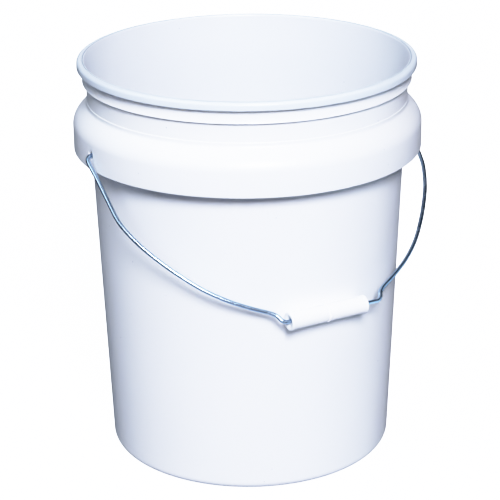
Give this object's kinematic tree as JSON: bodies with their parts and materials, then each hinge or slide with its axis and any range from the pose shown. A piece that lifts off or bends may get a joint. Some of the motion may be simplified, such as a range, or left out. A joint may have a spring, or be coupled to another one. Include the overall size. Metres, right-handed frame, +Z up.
{
  "type": "plastic fermenting bucket",
  "caption": "Open tapered white plastic fermenting bucket with a beaded rim, a hanging skirt with ear holes, a swinging wire bail and a roll grip.",
  "frame": {"origin": "centre of the foot ring on the ground plane, on the bucket's axis", "axes": "+Z up along the bucket's axis, X along the bail's pivot line through the two ear holes, the bail rests on the -Y side"},
  "size_m": [0.3222, 0.3098, 0.3635],
  "materials": {
    "pail_plastic": "satin natural white moulded polyethylene, slightly translucent, fine scuffs",
    "bail_steel": "bright zinc plated drawn wire",
    "grip_plastic": "smooth white moulded plastic"
  },
  "bodies": {
    "pail": {"pail_body": "pail_plastic"},
    "bail": {"bail_wire": "bail_steel"},
    "grip": {"bail_grip": "grip_plastic"}
  },
  "joints": [
    {"name": "bail_swing", "type": "hinge", "parent": "pail", "child": "bail", "pos_m": [0, 0, 0.2965], "axis": [-1, 0, 0], "range_deg": [0, 262.6]},
    {"name": "grip_spin", "type": "hinge", "parent": "bail", "child": "grip", "pos_m": [-0.006, -0.14402, 0.16998], "axis": [1, 0, 0], "continuous": true}
  ]
}
